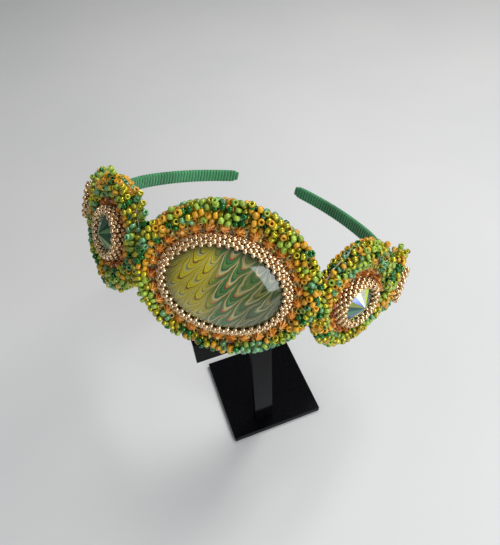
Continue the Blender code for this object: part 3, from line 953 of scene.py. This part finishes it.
def crystal_finish(medallion, facet_reflections):
    """Foiled crystal: every facet round the point is painted with its own reflection, painted lighter
    towards the edge.
    """
    finish = Finish(medallion.name + "_crystal_glass", IOR=1.45, Coat_Weight=0.3, Coat_Roughness=0.02)
    _, x, y = finish.in_medallion(medallion)
    turn = finish.node("ShaderNodeMath", {"operation": "ARCTAN2"}, {0: y, 1: x})
    facets = len(facet_reflections)
    facet = (turn * (facets / math.tau) + facets).floor() * (1.0 / facets) + 0.001
    stops = [(index / facets, color) for index, color in enumerate(facet_reflections)]
    # own: the facet's painted reflection; the mixes below add pale clouds and paint it lighter away from
    # the point.
    own = finish.ramp(facet.fraction(), stops, "CONSTANT")
    cloud = finish.noise(420.0, 2.0)
    reach = (x * x + y * y) ** 0.5
    streak = finish.mix(cloud * 0.12, own, (0.35, 0.50, 0.30))
    finish.paint(
        Base_Color=finish.mix((reach * 60.0).upto(0.3), streak, own, "ADD"),
        Metallic=0.45 + cloud * 0.3,
        Roughness=0.08 + cloud * 0.06,
    )
    return finish


def printed_glass_finish(medallion):
    """Combed marbling under clear glass: sunny on the left, ferny in the middle and misty on the right,
    with painted shade towards the rim.
    """
    finish = Finish("printed_glass", IOR=1.4, Coat_Weight=1.0, Coat_IOR=1.5, Coat_Roughness=0.07)
    turned, x, y = finish.in_medallion(medallion)
    drift = finish.noise(90.0, 3.0, vector=turned)
    swell = finish.noise(45.0, 1.0, vector=turned)
    across = x * 0.86 - y * 0.50 + drift * 0.005
    along = x * 0.50 + y * 0.86 + swell * 0.012
    arch = (across * ARCH_TURNS).sine().size() ** 0.7
    stripe = (along * STRIPE_COUNT + arch * 1.2).fraction()
    sunny, fern, misty = (finish.ramp(stripe, stops) for stops in (SUNNY_STRIPE, FERN_STRIPE, MISTY_STRIPE))
    edge_of_sun = ((x + 0.007 + (swell - 0.5) * 0.02) * 190.0).atleast(0.0).upto(1.0)
    edge_of_mist = ((x - 0.004 + (drift - 0.5) * 0.02) * 170.0).atleast(0.0).upto(1.0)
    ground = finish.mix(edge_of_mist, finish.mix(edge_of_sun, sunny, fern), misty)
    hair = (along * STRIPE_COUNT * 6.0 + arch * 7.0 + drift * 5.0).fraction()
    fine = finish.ramp(hair, ((0.0, (0.35, 0.38, 0.30)), (0.3, WHITE), (0.85, WHITE)))
    combed = finish.mix(0.9, ground, fine, "MULTIPLY")
    # Painted shade: the print is darkened towards the rim of the oval, where the collar shades it.
    edge = ((x * (1.0 / CABOCHON_A)) ** 2.0 + (y * (1.0 / CABOCHON_B)) ** 2.0 - 0.52).atleast(0.0) * 2.4
    finish.paint(
        Base_Color=finish.mix(edge.upto(0.72), combed, (0.02, 0.03, 0.010)),
        Roughness=0.10 + drift * 0.04,
    )
    return finish


# Pieces


def add_stamped(kind, node_kind, template, finish, stations_of, first_seed):
    """Stamp a template over each medallion that has the node, as a piece of its own."""
    for seed, medallion in enumerate(MEDALLIONS, first_seed):
        name, node = f"{medallion.name}_{kind}", f"{medallion.name}_{node_kind}"
        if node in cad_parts:
            stations = stations_of(medallion, medallion_matrix(medallion), np.random.default_rng(seed))
            add_piece(name, stamp(name, template, stations), finish, [node])
    bpy.data.objects.remove(template)


def add_bead_mounds():
    """Seed beads of the five medallions."""
    bead = bead_template("seed_template", SEED_BEAD)
    add_stamped("seed_beads", "bead_field", bead, seed_bead_finish(), seed_stations, 31)


def add_collars():
    """Netted collars of fine rose gold beads."""
    bead = bead_template("gold_template", GOLD_BEAD)
    add_stamped("gold_beads", "bezel", bead, rose_gold_finish(), gold_stations, 71)


def add_amber_stones():
    """Rings of amber stones."""
    stone = stone_template()
    add_stamped("amber_stones", "amber_ring", stone, amber_finish(), stone_stations, 91)


def oval_mesh(name, medallion, rows, segments, closed):
    """A smooth mesh from oval rows in a medallion's own frame."""
    bm = oval_rows(rows, segments, closed)
    bmesh.ops.transform(bm, matrix=medallion_matrix(medallion), verts=bm.verts)
    mesh = mesh_from(bm, name)
    mesh.shade_smooth()
    return mesh


def add_felts():
    """The felt that the beads are sewn on, just under them."""
    finish = felt_finish()
    for medallion in MEDALLIONS:
        inner_a, inner_b = field_inner_edge(medallion)
        foot_a, foot_b = medallion.collar_a * MM + GAP, medallion.collar_b * MM + GAP
        rim_a, rim_b = medallion.rim_a * MM - FELT_EDGE, medallion.rim_b * MM - FELT_EDGE
        crest = medallion.crest * MM
        rise, shift = medallion.rise * MM, medallion.shift * MM

        def between(share, z):
            """A row part of the way from the mound's inner edge to its rim."""
            reach = share * 0.92
            half_width = max(inner_a + (rim_a - inner_a) * reach, foot_a + GAP)
            half_height = max(inner_b + (rim_b - inner_b) * reach, foot_b + GAP)
            return Row(half_width, half_height, z - FELT_DEPTH, rise * share, shift * share)

        rows = [
            Row(foot_a - MM, foot_b - MM, FIELD_FLOOR),
            Row(rim_a, rim_b, FIELD_FLOOR, rise, shift),
            Row(rim_a, rim_b, FIELD_FLOOR + GAP, rise, shift),
            between(0.78, crest * 0.82 + GAP),
            between(0.35, crest),
            between(0.0, crest * 0.85),
            Row(foot_a - MM, foot_b - MM, FIELD_FLOOR + 1.3 * MM),
        ]
        name = medallion.name + "_felt"
        add_piece(name, oval_mesh(name, medallion, rows, FELT_SEGMENTS, closed=True), finish)


def add_glass_dome():
    """The smooth glass dome over the print."""
    medallion = MEDALLIONS[0]
    rows = [Row(CABOCHON_A, CABOCHON_B, CABOCHON_FLOOR)]
    for step in range(DOME_STEPS):
        angle = math.radians(88.0) * step / (DOME_STEPS - 1)
        spread = math.cos(angle)
        dome = (CABOCHON_HEIGHT - CABOCHON_EDGE) * math.sin(angle)
        rows.append(Row(CABOCHON_A * spread, CABOCHON_B * spread, CABOCHON_FLOOR + CABOCHON_EDGE + dome))
    mesh = oval_mesh("center_glass_dome", medallion, rows, DOME_SEGMENTS, closed=False)
    mesh.set_sharp_from_angle(angle=math.radians(60.0))
    finish = printed_glass_finish(medallion)
    add_piece("center_glass_dome", mesh, finish, ["center_cabochon"])


def wrap_template():
    """One wrap of cord round the hoop's flat section, with a strand coordinate round the cord."""
    bm = bmesh.new()
    half_thickness = HOOP_THICKNESS / 2.0 - WRAP_HALF_DEPTH
    half_width = HOOP_WIDTH / 2.0 - WRAP_HALF_DEPTH
    strand = bm.verts.layers.float.new("strand")
    cord = bmesh.ops.create_circle(bm, cap_ends=False, segments=WRAP_SIDES, radius=1.0)["verts"]
    angles = [math.atan2(vert.co.y, vert.co.x) for vert in cord]
    for vert, angle in zip(cord, angles):
        vert[strand] = abs(angle) / math.pi
        vert.co = Vector((1.0 + WRAP_UNIT * math.cos(angle), 0.0, math.sin(angle) * WRAP_UNIT))
    spin_section(bm, cord, WRAP_STEPS, 0.0001)
    for vert in bm.verts:
        flat = Vector((vert.co.x, vert.co.y))
        lift = (flat.length - 1.0) / WRAP_UNIT
        across = signed_power(flat.normalized().x, 0.5)
        up = signed_power(flat.normalized().y, 0.6)
        outward = Vector((across / half_thickness, up / half_width)).normalized()
        x = across * half_thickness + outward.x * lift * WRAP_HALF_DEPTH
        y = up * half_width + outward.y * lift * WRAP_HALF_DEPTH
        vert.co = Vector((x, y, vert.co.z / WRAP_UNIT * WRAP_HALF_PITCH))
    bmesh.ops.recalc_face_normals(bm, faces=bm.faces)
    return add_template("wrap_template", bm)


def add_hoop_wrap():
    """The cord, wrap by wrap, along the whole hoop; the last wraps close the tips."""
    matrix = hoop_matrix()
    draw = np.random.default_rng(5)
    half_length = CROWN_HALF_ARC + ARM_ARC
    count = 2 * round(half_length / WRAP_PITCH) + 1
    stations = []
    for index in range(count):
        arc = half_length * (2.0 * index / (count - 1) - 1.0)
        place, heading = hoop_station(arc)
        forward = Vector((math.cos(heading), math.sin(heading), 0.0))
        tip = max(0, TIP_WRAPS - min(index, count - 1 - index)) / (TIP_WRAPS + 1)
        close = math.sqrt(1.0 - tip**2)
        lean = forward + UP * WRAP_LEAN + Vector(draw.normal(0.0, 0.012, 3))
        stations.append(station(matrix, place, lean, outward_at(heading), (close, close, 1.0), WHITE, 0.0))
    template = wrap_template()
    mesh = stamp("hoop_cord_wraps", template, stations)
    bpy.data.objects.remove(template)
    add_piece("hoop_cord_wraps", mesh, cord_finish(), ["wrapped_hoop"])


def add_threads():
    """Bare thread that shows between the rows, on the inner medallions' near sides."""
    finish = thread_finish()
    for medallion in MEDALLIONS:
        for number, (start, end, level) in enumerate(THREADS.get(medallion.name, ())):
            angle = np.radians(np.linspace(start, end, THREAD_POINTS))
            place, _, _, normal = mound_frame(medallion, angle, np.full(THREAD_POINTS, level))
            matrix = medallion_matrix(medallion)
            curve = bpy.data.curves.new("thread", "CURVE")
            curve.dimensions = "3D"
            curve.bevel_depth = THREAD_RADIUS
            curve.bevel_resolution = 1
            curve.use_fill_caps = True
            spline = curve.splines.new("POLY")
            spline.points.add(THREAD_POINTS - 1)
            for index, point in enumerate(spline.points):
                sway = THREAD_SWAY * math.sin(index * 1.3 + number)
                middle = Vector(place[index]) + Vector(normal[index]) * (sway - THREAD_DEPTH)
                point.co = (*(matrix @ middle), 1.0)
            holder = bpy.data.objects.new("thread", curve)
            mesh = bpy.data.meshes.new_from_object(holder)
            bpy.data.objects.remove(holder)
            add_piece(f"{medallion.name}_thread_{number + 1}", mesh, finish)


def dress_cad_nodes():
    """Finishes of the CAD pieces that stay."""
    leather = leather_finish()
    acrylic = acrylic_finish()
    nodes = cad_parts
    for medallion in MEDALLIONS:
        set_finish(nodes[medallion.name + "_backing"].data, leather)
        if medallion.name != "center":
            # The left crystals get the darker painted reflections.
            colors = DEEP_FACET_REFLECTIONS if medallion.name.startswith("left") else BRIGHT_FACET_REFLECTIONS
            set_finish(nodes[medallion.name + "_crystal"].data, crystal_finish(medallion, colors))
    for name in ("stand_base", "stand_tee", "stand_cradle"):
        set_finish(nodes[name].data, acrylic)


# Stage


def add_floor():
    """A plain pale floor."""
    bm = bmesh.new()
    bmesh.ops.create_grid(bm, x_segments=1, y_segments=1, size=3.0)
    floor = add_object("floor", mesh_from(bm, "floor"))
    finish = Finish("pale_floor", Roughness=0.75)
    shade = finish.ramp(finish.noise(6.0), ((0.3, (0.66, 0.66, 0.66)), (0.7, (0.70, 0.70, 0.69))))
    finish.paint(Base_Color=shade)
    set_finish(floor.data, finish)


def add_camera():
    """The camera at the photograph's angle."""
    data = bpy.data.cameras.new("camera")
    data.lens = CAMERA_LENS
    data.sensor_width = CAMERA_SENSOR
    data.sensor_fit = "HORIZONTAL"
    data.clip_start = 0.01
    data.clip_end = 20.0
    camera = add_object("camera", data)
    tilt = Matrix.Rotation(math.pi / 2.0 - CAMERA_PITCH, 4, "X") @ Matrix.Rotation(-CAMERA_ROLL, 4, "Z")
    camera.matrix_world = Matrix.Translation(CAMERA_PLACE) @ Matrix.Rotation(CAMERA_AZIMUTH, 4, "Z") @ tilt
    bpy.context.scene.camera = camera


def add_softbox(name, place, target, size, power, color):
    """A square soft light that faces a target."""
    data = bpy.data.lights.new(name, "AREA")
    data.shape = "SQUARE"
    data.size = size
    data.energy = power
    data.color = color
    light = add_object(name, data)
    light.location = place
    light.rotation_euler = (Vector(target) - Vector(place)).to_track_quat("-Z", "Y").to_euler()


def add_lights():
    """Soft studio light: one like a window in front on the right, a key behind and an even surround."""
    middle = (0.0, -0.02, 0.11)
    add_softbox("window_light", (0.50, -0.43, 0.40), middle, 0.52, 3.6, (0.90, 0.95, 1.0))
    add_softbox("key_light", (0.28, 0.28, 0.80), middle, 0.40, 5.2, (1.0, 0.99, 0.97))
    world = bpy.data.worlds.new("surround")
    world.use_nodes = True
    background = world.node_tree.nodes["Background"]
    background.inputs["Color"].default_value = (0.86, 0.88, 0.90, 1.0)
    background.inputs["Strength"].default_value = 0.27
    bpy.context.scene.world = world


def main():
    """Dress the frame."""
    add_camera()
    add_floor()
    add_lights()
    add_hoop_wrap()
    add_bead_mounds()
    add_collars()
    add_amber_stones()
    add_felts()
    add_threads()
    add_glass_dome()
    dress_cad_nodes()
    bpy.context.scene.view_settings.view_transform = "Standard"


main()
